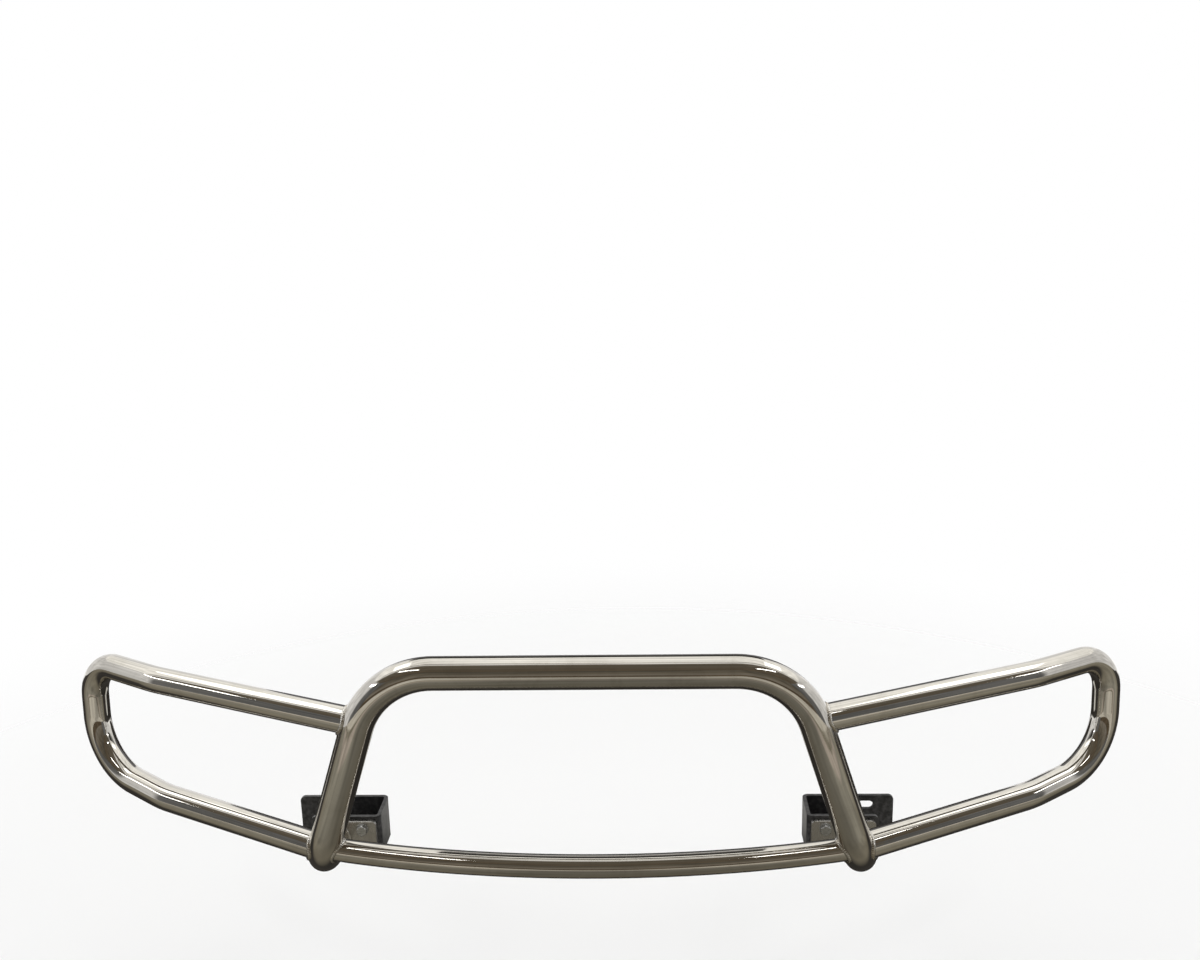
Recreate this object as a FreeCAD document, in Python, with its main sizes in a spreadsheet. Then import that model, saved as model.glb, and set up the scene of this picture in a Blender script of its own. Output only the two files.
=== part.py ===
import FreeCAD, Part
import math
import os

import Sketcher

# Front grille guard for a road vehicle: a bent hoop, two swept wing loops, a bowed lower cross
# tube, and on each side a flange plate, a folded frame bracket and the fasteners between them.
#
# Frame: +Z up, +Y towards the vehicle, +X to the right of someone facing the grille.
# Origin: centre of the four frame bolts, on the rear faces of the frame brackets.

DRIVING = {
    # hoop: inverted U whose splayed legs turn back into two level tails
    "hoop_od": 50.8,
    "tube_wall": 2.0,
    "hoop_top_height": 333.0,     # top bar centreline above the tails
    "hoop_setback": 185.0,        # hoop plane in front of the brackets' rear faces
    "hoop_half_top": 314.0,       # where the top bar's line meets the leg's line
    "leg_splay": 17.9,            # degrees from upright
    "hoop_corner_bend": 125.0,    # centreline radius
    "tail_bend": 80.0,            # centreline radius
    # wing loops
    "wing_od": 42.4,
    "wing_top_drop": 78.0,        # upper joint below the top bar
    "wing_low_height": 40.0,      # lower joint above the tails
    "wing_reach": 836.0,          # outer corners from the middle plane
    "wing_knee_reach": 698.0,     # where the runs sweep back harder
    "wing_sweep": 20.0,           # degrees, inner runs
    "wing_tip_sweep": 29.0,       # degrees, outer runs
    "wing_top_rise": 2.4,         # degrees, inner part of the upper run
    "wing_tip_top_rise": 1.0,     # degrees, outer part of the upper run
    "wing_low_rise": 6.0,         # degrees, inner part of the lower run
    "wing_tip_low_rise": 9.0,     # degrees, outer part of the lower run
    "wing_knee_bend": 190.0,
    "wing_top_bend": 56.0,
    "wing_low_bend": 106.0,
    # lower cross tube
    "cross_od": 35.0,
    "cross_height": 41.0,         # above the tails
    "cross_bow": 52.0,            # forward bow at the middle
    # joints of the welded frame
    "root_gap": 0.2,
    "bead_size": 4.0,
    "bead_toe": 0.4,              # flat left at a fillet weld's thin end
    "bead_seat": 0.05,            # between the flange bead and the tail
    "joint_reach": 60.0,          # half height of the space kept for one joint's beads
    "flange_bead": 4.4,
    # flange plates
    "flange_thick": 8.0,
    "flange_tall": 60.0,
    "flange_outer": 33.0,         # outer edge beyond the tail's centreline
    "flange_inset": 6.0,          # inner edge from the outside face of the bracket's web
    "flange_corner": 7.0,
    # frame brackets, folded from plate into a channel open to the outside
    "bracket_thick": 6.0,
    "bracket_depth": 72.0,
    "bracket_tall": 70.0,
    "bracket_web_x": 346.0,       # outside face of the web from the middle plane
    "bracket_front_width": 114.0,
    "bracket_rear_width": 150.0,
    "bracket_inner_bend": 4.0,
    "bracket_corner": 8.0,
    # frame bolts, which belong to the vehicle
    "frame_spacing": 900.0,
    "frame_pitch": 36.0,
    "frame_slot_width": 14.0,
    "frame_slot_length": 26.0,
    # gussets inside the brackets
    "gusset_thick": 5.0,
    "gusset_reach": 74.0,
    "gusset_relief": 12.0,
    "gusset_bead": 4.0,
    # M10 fasteners between flange plate and bracket
    "bolt_dia": 10.0,
    "bolt_hole": 11.0,
    "bolt_slot_length": 17.0,
    "bolt_length": 35.0,
    "bolt_chamfer": 1.0,
    "bolt_inset": 28.0,           # bolt line from the outside face of the web
    "bolt_pitch": 34.0,
    "hex_flats": 16.0,
    "hex_turning": 1.4,           # height and depth turned off a hexagon's corners
    "head_tall": 6.4,
    "nut_tall": 8.4,
    "thread_clearance": 0.1,
    "washer_od": 20.0,
    "washer_id": 10.5,
    "washer_thick": 2.0,
    "spring_od": 18.0,
    "spring_id": 10.5,
    "spring_thick": 2.2,
    "spring_slit": 1.6,
}

DERIVED = {
    "hoop_rad": "hoop_od / 2",
    "wing_rad": "wing_od / 2",
    "cross_rad": "cross_od / 2",
    "flange_front": "-bracket_depth - flange_thick",
    "tail_x": "hoop_half_top + hoop_top_height * tan(leg_splay * 1deg)",
    "bolt_x": "bracket_web_x + bolt_inset",
    "bolt_z": "bolt_pitch / 2",
    "bracket_inner_face": "-bracket_depth + bracket_thick",
    "head_seat": "flange_front - washer_thick",
    "nut_washer_seat": "bracket_inner_face + washer_thick",
    "nut_seat": "bracket_inner_face + washer_thick + spring_thick",
    "hex_corner": "hex_flats / 2 / cos(30deg)",
}

doc = FreeCAD.newDocument("grille_guard")
sheet = doc.addObject("Spreadsheet::Sheet", "sizes")


def fill_sheet():
    """Write every driving size, then the sizes that follow from them."""
    row = 1
    for name, value in DRIVING.items():
        sheet.set("A%d" % row, name)
        sheet.set("B%d" % row, str(value))
        sheet.setAlias("B%d" % row, name)
        row += 1
    for name, formula in DERIVED.items():
        sheet.set("A%d" % row, name)
        sheet.set("B%d" % row, "=" + formula)
        sheet.setAlias("B%d" % row, name)
        row += 1
    doc.recompute()


def size(name):
    """One value from the sheet, as a plain number."""
    return float(getattr(sheet, name))


def bind(obj, prop, formula):
    """Tie a property to sheet cells; every word that is a cell alias gets the sheet's name."""
    words = ""
    word = ""
    for letter in formula + " ":
        if letter.isalnum() or letter == "_":
            word += letter
            continue
        if word in DRIVING or word in DERIVED:
            word = "sizes." + word
        words += word + letter
        word = ""
    obj.setExpression(prop, words.strip())


def place(obj, x="0", y="0", z="0"):
    """Tie an object's position to sheet cells."""
    for axis, formula in (("x", x), ("y", y), ("z", z)):
        bind(obj, ".Placement.Base." + axis, formula)


def turn(obj, axis, angle):
    """Turn an object about an axis through its own origin."""
    rotation = FreeCAD.Rotation(FreeCAD.Vector(*axis), angle)
    obj.Placement = FreeCAD.Placement(obj.Placement.Base, rotation)


# ---------------------------------------------------------------- tube centrelines

def heading(sweep, rise):
    """Unit direction outward along +X, swept back and rising by two angles in degrees."""
    across = math.cos(math.radians(sweep))
    back = math.sin(math.radians(sweep))
    up = math.tan(math.radians(rise)) * across
    return FreeCAD.Vector(across, back, up).normalize()


def bent_wire(points, bends):
    """Straight runs between points, with a tangent arc of the given radius at each inner point."""
    edges = []
    start = points[0]
    for index, radius in enumerate(bends, 1):
        corner = points[index]
        towards = (points[index - 1] - corner).normalize()
        onwards = (points[index + 1] - corner).normalize()
        opening = towards.getAngle(onwards)
        reach = radius / math.tan(opening / 2)
        first = corner + towards * reach
        last = corner + onwards * reach
        inward = (towards + onwards).normalize()
        middle = corner + inward * (radius / math.sin(opening / 2) - radius)
        edges.append(Part.LineSegment(start, first).toShape())
        edges.append(Part.Arc(first, middle, last).toShape())
        start = last
    edges.append(Part.LineSegment(start, points[-1]).toShape())
    return Part.Wire(edges)


def leg_point(height):
    """Point on the hoop's right leg line at a height above the tails."""
    drop = size("hoop_top_height") - height
    across = size("hoop_half_top") + drop * math.tan(math.radians(size("leg_splay")))
    return FreeCAD.Vector(across, -size("hoop_setback"), height)


def tail_bend_back(height):
    """How far the tail bend has carried the hoop's centreline back at a height."""
    radius = size("tail_bend")
    lean = math.cos(math.radians(size("leg_splay")))
    sine = max(0.0, 1.0 - height / (radius * lean))
    return radius * (1.0 - math.sqrt(1.0 - sine * sine))


def hoop_points():
    """Tail, leg, top bar, leg and tail, as the corners of the centreline."""
    foot = leg_point(0.0)
    shoulder = leg_point(size("hoop_top_height"))
    tail = FreeCAD.Vector(foot.x, size("flange_front"), 0.0)
    right = [tail, foot, shoulder]
    left = [FreeCAD.Vector(-p.x, p.y, p.z) for p in reversed(right)]
    return right + left


def wing_points():
    """Corners of the right wing loop's centreline, from the upper joint round to the lower."""
    top_joint = leg_point(size("hoop_top_height") - size("wing_top_drop"))
    low_joint = leg_point(size("wing_low_height"))
    low_joint.y += tail_bend_back(size("wing_low_height"))
    knee_x = size("wing_knee_reach")
    tip_x = size("wing_reach")
    sweep = size("wing_sweep")
    tip_sweep = size("wing_tip_sweep")
    top_inner = heading(sweep, size("wing_top_rise"))
    low_inner = heading(sweep, size("wing_low_rise"))
    top_outer = heading(tip_sweep, size("wing_tip_top_rise"))
    low_outer = heading(tip_sweep, size("wing_tip_low_rise"))
    top_knee = top_joint + top_inner * ((knee_x - top_joint.x) / top_inner.x)
    low_knee = low_joint + low_inner * ((knee_x - low_joint.x) / low_inner.x)
    top_tip = top_knee + top_outer * ((tip_x - knee_x) / top_outer.x)
    low_tip = low_knee + low_outer * ((tip_x - knee_x) / low_outer.x)
    return [top_joint, top_knee, top_tip, low_tip, low_knee, low_joint]


def cross_ends():
    """Ends and bowed middle of the lower cross tube's centreline."""
    end = leg_point(size("cross_height"))
    end.y += tail_bend_back(size("cross_height"))
    middle = FreeCAD.Vector(0.0, end.y - size("cross_bow"), end.z)
    return FreeCAD.Vector(-end.x, end.y, end.z), middle, end


def centreline(name, wire):
    """Keep a centreline in the document for the sweeps that follow it."""
    line = doc.addObject("Part::Feature", name)
    line.Shape = wire
    line.Placement = FreeCAD.Placement()
    return line


def rod(name, line, radius):
    """Solid swept along a centreline with a round section of a bound radius."""
    ring = doc.addObject("Part::Circle", name + "_section")
    bind(ring, "Radius", radius)
    first = line.Shape.OrderedEdges[0]
    start = first.valueAt(first.FirstParameter)
    along = first.tangentAt(first.FirstParameter)
    if first.Orientation == "Reversed":
        start = first.valueAt(first.LastParameter)
        along = along * -1
    ring.Placement = FreeCAD.Placement(start, FreeCAD.Rotation(FreeCAD.Vector(0, 0, 1), along))
    sweep = doc.addObject("Part::Sweep", name)
    sweep.Sections = [ring]
    sweep.Spine = (line, [])
    sweep.Solid = True
    sweep.Frenet = True
    return sweep


def cut(name, base, tool):
    """Boolean difference as a document object."""
    result = doc.addObject("Part::Cut", name)
    result.Base = base
    result.Tool = tool
    return result


def common(name, one, two):
    """Boolean intersection as a document object."""
    result = doc.addObject("Part::MultiCommon", name)
    result.Shapes = [one, two]
    return result


def mirrored(name, source):
    """The opposite-hand copy of a piece, across the guard's middle plane."""
    copy = doc.addObject("Part::Mirroring", name)
    copy.Source = source
    copy.Normal = FreeCAD.Vector(1, 0, 0)
    copy.Base = FreeCAD.Vector(0, 0, 0)
    return copy


pieces = []


def keep(obj, name):
    """Count an object as a finished piece under its own name."""
    obj.Label = name
    pieces.append(obj)
    return obj


def keep_pair(obj, name):
    """Keep a right-hand piece and its mirrored left-hand twin."""
    keep(obj, "right_" + name)
    keep(mirrored("left_" + name, obj), "left_" + name)


# ---------------------------------------------------------------- welded frame

def make_frame():
    """Hoop, cross tube and wings, coped to the hoop, with the weld beads at their joints."""
    hoop_line = centreline("hoop_line", bent_wire(hoop_points(), hoop_bends()))
    hoop_solid = rod("hoop_solid", hoop_line, "hoop_rad")
    hoop_bore = rod("hoop_bore", hoop_line, "hoop_rad - tube_wall")
    hoop_cope = rod("hoop_cope", hoop_line, "hoop_rad + root_gap")
    hoop_skin = rod("hoop_skin", hoop_line, "hoop_rad + bead_size")
    keep(cut("hoop_tube", hoop_solid, hoop_bore), "hoop_tube")

    first, middle, last = cross_ends()
    cross_line = centreline("cross_line", Part.Wire([Part.Arc(first, middle, last).toShape()]))
    make_branch("lower_cross_tube", cross_line, "cross_rad", hoop_cope)
    make_beads("cross", cross_line, "cross_rad", hoop_cope, hoop_skin)

    bends = [size(n) for n in ("wing_knee_bend", "wing_top_bend", "wing_low_bend", "wing_knee_bend")]
    wing_line = centreline("wing_line", bent_wire(wing_points(), bends))
    wing = make_branch("right_wing_tube", wing_line, "wing_rad", hoop_cope)
    keep(mirrored("left_wing_tube", wing), "left_wing_tube")
    make_beads("wing", wing_line, "wing_rad", hoop_cope, hoop_skin)


def hoop_bends():
    """Bend radii of the hoop in the order of its corners."""
    tail = size("tail_bend")
    corner = size("hoop_corner_bend")
    return [tail, corner, corner, tail]


def make_branch(name, line, radius, hoop_cope):
    """Tube whose ends are coped to the hoop with an even root gap."""
    outer = rod(name + "_solid", line, radius)
    inner = rod(name + "_bore", line, radius + " - tube_wall")
    pipe = cut(name + "_pipe", outer, inner)
    return keep(cut(name, pipe, hoop_cope), name)


def make_beads(name, line, radius, hoop_cope, hoop_skin):
    """Weld beads where a branch tube meets the right side of the hoop, and their twins."""
    skin = rod(name + "_skin", line, radius + " + bead_size")
    body = rod(name + "_clear", line, radius + " + root_gap")
    ring = cut(name + "_ring", common(name + "_overlap", skin, hoop_skin), hoop_cope)
    bead = cut(name + "_bead", ring, body)
    for spot, region in bead_regions(name).items():
        local = common(spot + "_weld", bead, region)
        keep_pair(local, spot + "_weld")


def bead_regions(name):
    """A box round each joint on the right side, so that every bead is a piece of its own."""
    level = {"cross": {"cross_tube": "cross_height"},
             "wing": {"wing_top": "hoop_top_height - wing_top_drop", "wing_low": "wing_low_height"}}
    regions = {}
    for spot, height in level[name].items():
        box = doc.addObject("Part::Box", spot + "_region")
        bind(box, "Length", "wing_reach")
        bind(box, "Width", "hoop_setback * 2")
        bind(box, "Height", "joint_reach * 2")
        place(box, "0", "-hoop_setback * 2", height + " - joint_reach")
        regions[spot] = box
    return regions


# ---------------------------------------------------------------- plate work

def new_body(name, x="0", y="0", z="0"):
    """Empty body whose place is tied to the sheet."""
    body = doc.addObject("PartDesign::Body", name)
    place(body, x, y, z)
    return body


def sketch_on(body, name, role, offset="0"):
    """Empty sketch on one of a body's origin planes, moved along the normal by a formula."""
    sketch = body.newObject("Sketcher::SketchObject", name)
    plane = [feature for feature in body.Origin.OriginFeatures if feature.Role == role][0]
    sketch.AttachmentSupport = [(plane, "")]
    sketch.MapMode = "FlatFace"
    bind(sketch, ".AttachmentOffset.Base.z", offset)
    return sketch


def locate(sketch, geometry, vertex, label, across, up):
    """Tie a point of a sketch to two formulas, measured from the sketch's origin."""
    for kind, formula, axis in (("DistanceX", across, "x"), ("DistanceY", up, "y")):
        rule = Sketcher.Constraint(kind, -1, 1, geometry, vertex, worth(formula))
        name = label + axis
        sketch.renameConstraint(sketch.addConstraint(rule), name)
        bind(sketch, "Constraints." + name, formula)


def worth(formula):
    """Value of a formula with the sheet's present sizes."""
    return float(sheet.evalExpression(formula))


def draw_outline(sketch, corners):
    """Closed polygon whose corners are pairs of formulas."""
    spots = [FreeCAD.Vector(worth(across), worth(up), 0) for across, up in corners]
    count = len(spots)
    for index in range(count):
        sketch.addGeometry(Part.LineSegment(spots[index], spots[(index + 1) % count]))
    for index in range(count):
        sketch.addConstraint(Sketcher.Constraint("Coincident", index, 2, (index + 1) % count, 1))
    for index, (across, up) in enumerate(corners):
        locate(sketch, index, 1, "corner%d" % index, across, up)


def draw_slot(sketch, label, across, up, width, length):
    """Round-ended slot lying along the sketch's first axis."""
    radius = worth(width) / 2
    half = (worth(length) - worth(width)) / 2
    middle = FreeCAD.Vector(worth(across), worth(up), 0)
    axis = FreeCAD.Vector(0, 0, 1)
    inner = middle - FreeCAD.Vector(half, 0, 0)
    outer = middle + FreeCAD.Vector(half, 0, 0)
    rise = FreeCAD.Vector(0, radius, 0)
    quarter = math.pi / 2
    near = sketch.addGeometry(Part.ArcOfCircle(Part.Circle(inner, axis, radius), quarter, 3 * quarter))
    far = sketch.addGeometry(Part.ArcOfCircle(Part.Circle(outer, axis, radius), -quarter, quarter))
    low = sketch.addGeometry(Part.LineSegment(inner - rise, outer - rise))
    top = sketch.addGeometry(Part.LineSegment(outer + rise, inner + rise))
    sketch.addConstraint(Sketcher.Constraint("Tangent", near, 2, low, 1))
    sketch.addConstraint(Sketcher.Constraint("Tangent", low, 2, far, 1))
    sketch.addConstraint(Sketcher.Constraint("Tangent", far, 2, top, 1))
    sketch.addConstraint(Sketcher.Constraint("Tangent", top, 2, near, 1))
    reach = "(%s - %s) / 2" % (length, width)
    locate(sketch, near, 3, label + "near", "%s - %s" % (across, reach), up)
    locate(sketch, far, 3, label + "far", "%s + %s" % (across, reach), up)
    rule = sketch.addConstraint(Sketcher.Constraint("Radius", near, radius))
    sketch.renameConstraint(rule, label + "radius")
    bind(sketch, "Constraints." + label + "radius", width + " / 2")


def draw_hole(sketch, label, across, up, diameter):
    """Circle at a pair of formulas."""
    middle = FreeCAD.Vector(worth(across), worth(up), 0)
    ring = sketch.addGeometry(Part.Circle(middle, FreeCAD.Vector(0, 0, 1), worth(diameter) / 2))
    locate(sketch, ring, 3, label, across, up)
    rule = sketch.addConstraint(Sketcher.Constraint("Radius", ring, worth(diameter) / 2))
    sketch.renameConstraint(rule, label + "radius")
    bind(sketch, "Constraints." + label + "radius", diameter + " / 2")


def pad(body, sketch, name, length, side="One side"):
    """Pad of a bound length."""
    feature = body.newObject("PartDesign::Pad", name)
    feature.Profile = sketch
    feature.SideType = side
    bind(feature, "Length", length)
    doc.recompute()
    return feature


def pocket(body, sketch, name, depth, back=False):
    """Pocket of a bound depth, which must take material away."""
    before = body.Tip.Shape.Volume
    feature = body.newObject("PartDesign::Pocket", name)
    feature.Profile = sketch
    feature.Type = "Length"
    feature.Reversed = back
    bind(feature, "Length", depth)
    doc.recompute()
    if feature.Shape.Volume >= before:
        raise RuntimeError(name + " cuts nothing")
    return feature


def round_edges(body, name, radius, chosen):
    """Fillet the edges of the body's tip that a test picks out."""
    tip = body.Tip
    names = ["Edge%d" % n for n, edge in enumerate(tip.Shape.Edges, 1) if chosen(edge)]
    feature = body.newObject("PartDesign::Fillet", name)
    feature.Base = (tip, names)
    bind(feature, "Radius", radius)
    doc.recompute()
    return feature


def runs_along(edge, axis):
    """True for a straight edge parallel to a unit vector."""
    if edge.Curve.TypeId != "Part::GeomLine":
        return False
    return abs(abs(edge.tangentAt(edge.FirstParameter).dot(axis)) - 1.0) < 1e-6


def make_flange_plate():
    """Plate welded across the end of the right tail, with two bolt holes inboard of the tube."""
    body = new_body("right_flange_plate", y="-bracket_depth")
    inner = "bracket_web_x + flange_inset"
    outer = "tail_x + flange_outer"
    outline = sketch_on(body, "flange_outline", "XZ_Plane")
    draw_outline(outline, [(inner, "-flange_tall / 2"), (outer, "-flange_tall / 2"),
                           (outer, "flange_tall / 2"), (inner, "flange_tall / 2")])
    pad(body, outline, "flange_pad", "flange_thick")
    holes = sketch_on(body, "flange_holes", "XZ_Plane")
    draw_hole(holes, "upper", "bolt_x", "bolt_z", "bolt_hole")
    draw_hole(holes, "lower", "bolt_x", "-bolt_z", "bolt_hole")
    pocket(body, holes, "flange_drilling", "flange_thick", back=True)
    along = FreeCAD.Vector(0, 1, 0)
    round_edges(body, "flange_corners", "flange_corner", lambda edge: runs_along(edge, along))
    keep_pair(body, "flange_plate")


def make_flange_weld():
    """Fillet weld round the right tail where it meets the flange plate."""
    bead = doc.addObject("Part::Cone", "flange_bead_solid")
    bind(bead, "Radius1", "hoop_rad + flange_bead")
    bind(bead, "Radius2", "hoop_rad + bead_toe")
    bind(bead, "Height", "flange_bead")
    tube = doc.addObject("Part::Cylinder", "flange_bead_clear")
    bind(tube, "Radius", "hoop_rad + bead_seat")
    bind(tube, "Height", "flange_bead")
    for piece in (bead, tube):
        turn(piece, (1, 0, 0), 90)
        place(piece, "tail_x", "flange_front", "0")
    keep_pair(cut("right_flange_weld", bead, tube), "flange_weld")


def make_frame_bracket():
    """Channel folded from plate: slotted front face, web, and slotted rear face on the frame."""
    body = new_body("right_frame_bracket")
    web = "bracket_web_x"
    web_inside = web + " + bracket_thick"
    front_end = web + " + bracket_front_width"
    rear_end = web + " + bracket_rear_width"
    profile = sketch_on(body, "bracket_profile", "XY_Plane")
    draw_outline(profile, [
        (front_end, "-bracket_depth"), (web, "-bracket_depth"), (web, "0"), (rear_end, "0"),
        (rear_end, "-bracket_thick"), (web_inside, "-bracket_thick"),
        (web_inside, "bracket_inner_face"), (front_end, "bracket_inner_face")])
    pad(body, profile, "bracket_pad", "bracket_tall", "Symmetric")
    upright = FreeCAD.Vector(0, 0, 1)
    inside_x = worth(web_inside)
    outside_x = worth(web)
    round_edges(body, "inner_folds", "bracket_inner_bend", lambda edge: runs_along(edge, upright)
                and abs(edge.CenterOfMass.x - inside_x) < 1e-4)
    round_edges(body, "outer_folds", "bracket_inner_bend + bracket_thick",
                lambda edge: runs_along(edge, upright) and abs(edge.CenterOfMass.x - outside_x) < 1e-4)
    through = FreeCAD.Vector(0, 1, 0)
    ends = (worth(front_end), worth(rear_end))
    round_edges(body, "bracket_corners", "bracket_corner", lambda edge: runs_along(edge, through)
                and min(abs(edge.CenterOfMass.x - end) for end in ends) < 1e-4)
    front = sketch_on(body, "front_slots", "XZ_Plane", "bracket_depth")
    rear = sketch_on(body, "rear_slots", "XZ_Plane")
    for label, sign in (("upper", ""), ("lower", "-")):
        draw_slot(front, label, "bolt_x", sign + "bolt_z", "bolt_hole", "bolt_slot_length")
        draw_slot(rear, label, "frame_spacing / 2", sign + "frame_pitch / 2",
                  "frame_slot_width", "frame_slot_length")
    pocket(body, front, "front_slotting", "bracket_thick")
    pocket(body, rear, "rear_slotting", "bracket_thick", back=True)
    keep_pair(body, "frame_bracket")


def make_gusset():
    """Level stiffener between the bracket's faces, relieved at the folds, and its weld beads."""
    body = new_body("right_gusset")
    web = "bracket_web_x + bracket_thick"
    relief = web + " + gusset_relief"
    reach = web + " + gusset_reach"
    outline = sketch_on(body, "gusset_outline", "XY_Plane")
    draw_outline(outline, [
        (web, "-bracket_thick - gusset_relief"), (relief, "-bracket_thick"),
        (reach, "-bracket_thick"), (reach + " - gusset_relief", "bracket_inner_face + gusset_relief"),
        (reach + " - gusset_relief * 2", "bracket_inner_face"), (relief, "bracket_inner_face"),
        (web, "bracket_inner_face + gusset_relief")])
    pad(body, outline, "gusset_pad", "gusset_thick", "Symmetric")
    keep_pair(body, "gusset")

    bead = doc.addObject("Part::Wedge", "gusset_bead_solid")
    for prop, formula in (("Xmin", "0"), ("Xmax", "gusset_bead"), ("X2min", "0"), ("X2max", "bead_toe"),
                          ("Ymin", "0"), ("Ymax", "gusset_bead"),
                          ("Zmin", "0"), ("Z2min", "0"),
                          ("Zmax", "bracket_depth - bracket_thick * 2 - gusset_relief * 2"),
                          ("Z2max", "bracket_depth - bracket_thick * 2 - gusset_relief * 2")):
        bind(bead, prop, formula)
    turn(bead, (1, 0, 0), 90)
    place(bead, web, "-bracket_thick - gusset_relief", "gusset_thick / 2")
    keep_pair(above_and_below("right_gusset_weld", bead), "gusset_weld")


# ---------------------------------------------------------------- fasteners

def above_and_below(name, upper):
    """One node holding a piece and its copy mirrored across the level of the tails."""
    lower = doc.addObject("Part::Mirroring", name + "_lower")
    lower.Source = upper
    lower.Normal = FreeCAD.Vector(0, 0, 1)
    lower.Base = FreeCAD.Vector(0, 0, 0)
    group = doc.addObject("Part::Compound", name)
    group.Links = [upper, lower]
    return group


def disc(name, radius, thick, seat):
    """Cylinder on the upper bolt line, reaching back (+Y) from a seat."""
    solid = doc.addObject("Part::Cylinder", name)
    bind(solid, "Radius", radius)
    bind(solid, "Height", thick)
    turn(solid, (1, 0, 0), -90)
    place(solid, "bolt_x", seat, "bolt_z")
    return solid


def hexagon(name, thick, seat):
    """Hexagonal block on the upper bolt line with its corners turned off at the ends."""
    block = doc.addObject("Part::Prism", name + "_block")
    block.Polygon = 6
    bind(block, "Circumradius", "hex_corner")
    bind(block, "Height", thick)
    turn(block, (1, 0, 0), -90)
    place(block, "bolt_x", seat, "bolt_z")
    blank = disc(name + "_blank", "hex_corner", thick, seat)
    turned = doc.addObject("Part::Chamfer", name + "_turned")
    turned.Base = blank
    doc.recompute()
    turning = size("hex_turning")
    rims = [n for n, edge in enumerate(blank.Shape.Edges, 1) if edge.Curve.TypeId == "Part::GeomCircle"]
    turned.Edges = [(n, turning / 2, turning) for n in rims]
    return common(name, block, turned)


def ring(name, outer, inner, thick, seat):
    """Flat ring on the upper bolt line."""
    return cut(name, disc(name + "_disc", outer, thick, seat), disc(name + "_bore", inner, thick, seat))


def make_fasteners():
    """Two M10 sets per side: bolt, washer under its head, washer, spring washer and nut."""
    head = hexagon("bolt_head", "head_tall", "head_seat - head_tall")
    shank = disc("bolt_shank", "bolt_dia / 2", "bolt_length", "head_seat")
    doc.recompute()
    tip_y = max(edge.CenterOfMass.y for edge in shank.Shape.Edges)
    rims = [n for n, edge in enumerate(shank.Shape.Edges, 1)
            if edge.Curve.TypeId == "Part::GeomCircle" and abs(edge.CenterOfMass.y - tip_y) < 1e-6]
    pointed = doc.addObject("Part::Chamfer", "bolt_pointed")
    pointed.Base = shank
    pointed.Edges = [(n, size("bolt_chamfer"), size("bolt_chamfer")) for n in rims]
    bolt = doc.addObject("Part::Fuse", "bolt")
    bolt.Base = head
    bolt.Tool = pointed
    keep_pair(above_and_below("right_flange_bolts", bolt), "flange_bolts")

    washer = ring("head_washer", "washer_od / 2", "washer_id / 2", "washer_thick", "head_seat")
    keep_pair(above_and_below("right_head_washers", washer), "head_washers")
    washer = ring("nut_washer", "washer_od / 2", "washer_id / 2", "washer_thick", "bracket_inner_face")
    keep_pair(above_and_below("right_nut_washers", washer), "nut_washers")

    coil = ring("spring_ring", "spring_od / 2", "spring_id / 2", "spring_thick", "nut_washer_seat")
    slit = doc.addObject("Part::Box", "spring_slit_box")
    bind(slit, "Length", "spring_slit")
    bind(slit, "Width", "spring_thick * 2")
    bind(slit, "Height", "spring_od")
    place(slit, "bolt_x - spring_slit / 2", "nut_washer_seat - spring_thick / 2", "bolt_z")
    keep_pair(above_and_below("right_spring_washers", cut("spring", coil, slit)), "spring_washers")

    nut_blank = hexagon("nut_blank", "nut_tall", "nut_seat")
    thread = disc("nut_thread", "bolt_dia / 2 + thread_clearance", "nut_tall", "nut_seat")
    keep_pair(above_and_below("right_nuts", cut("nut", nut_blank, thread)), "nuts")


def write_pieces():
    """Check the whole document, then write each piece to its own file."""
    doc.recompute()
    for obj in doc.Objects:
        if "Invalid" in obj.State or "Error" in obj.State:
            raise RuntimeError("%s: %s" % (obj.Name, obj.State))
    for piece in pieces:
        if piece.Shape.isNull() or not piece.Shape.isValid():
            raise RuntimeError("bad shape: " + piece.Label)
    os.makedirs("parts", exist_ok=True)
    for piece in pieces:
        piece.Shape.exportStep("parts/%s.step" % piece.Label)
        print("%-24s %d solids %10.1f mm3" % (piece.Label, len(piece.Shape.Solids), piece.Shape.Volume))


fill_sheet()
make_frame()
make_flange_plate()
make_flange_weld()
make_frame_bracket()
make_gusset()
make_fasteners()
write_pieces()
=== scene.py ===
"""Looks for a polished tubular front grille guard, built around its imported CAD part.

Lengths are in metres, in the part's own frame: +X is to the right of someone who faces
the guard, +Y goes back to the vehicle and +Z is up. The origin is the centre of the four
frame bolts on the rear faces of the two brackets.
"""

import logging
import math
from dataclasses import dataclass, field
from enum import Enum
from functools import cache
from typing import Callable

import bmesh
import bpy
from bmesh.types import BMEdge, BMesh, BMVert
from bpy.types import Material, Node, NodeSocket, NodeTree, Object
from mathutils import Matrix, Vector, noise


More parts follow.
